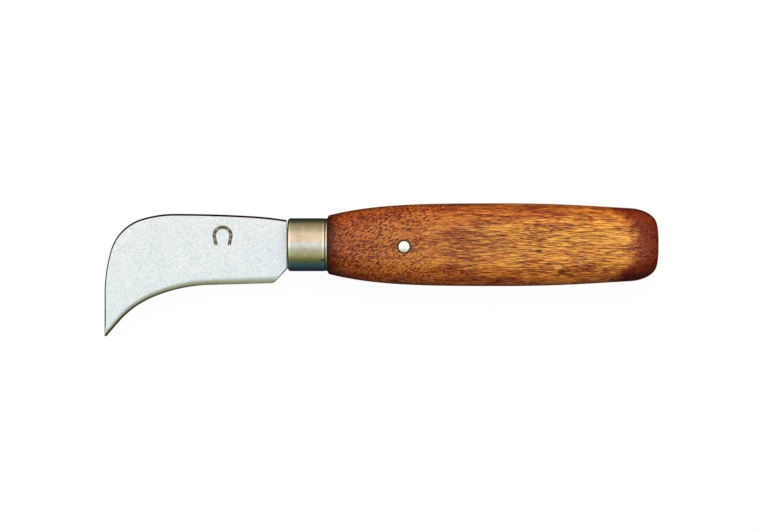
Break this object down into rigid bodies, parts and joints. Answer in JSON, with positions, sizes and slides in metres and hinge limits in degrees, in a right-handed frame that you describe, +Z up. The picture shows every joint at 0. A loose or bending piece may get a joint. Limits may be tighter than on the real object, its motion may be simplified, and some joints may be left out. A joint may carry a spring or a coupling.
{
  "type": "hoof knife",
  "caption": "Short fixed-blade knife with a hooked, down-turned blade, a pressed steel ferrule and a pinned one-piece wooden handle.",
  "frame": {"origin": "middle of the flat side that the knife lies on, halfway along the handle", "axes": "+X along the handle towards the butt, +Y across the blade towards the spine, +Z up out of the side that it lies on"},
  "size_m": [0.1906, 0.0459, 0.0206],
  "materials": {
    "blade_steel": "high-carbon steel, finely ground and glazed to an even satin, with a brighter ground bevel along the edge",
    "ferrule_plate": "drawn steel, nickel plated, warm satin shine",
    "handle_wood": "red-brown hardwood with short dark pores, stained and lacquered",
    "pin_metal": "bright pin, set and polished to a low dome"
  },
  "bodies": {
    "root": {"blade": "blade_steel", "ferrule": "ferrule_plate", "handle": "handle_wood", "cross_pin": "pin_metal"}
  },
  "joints": []
}
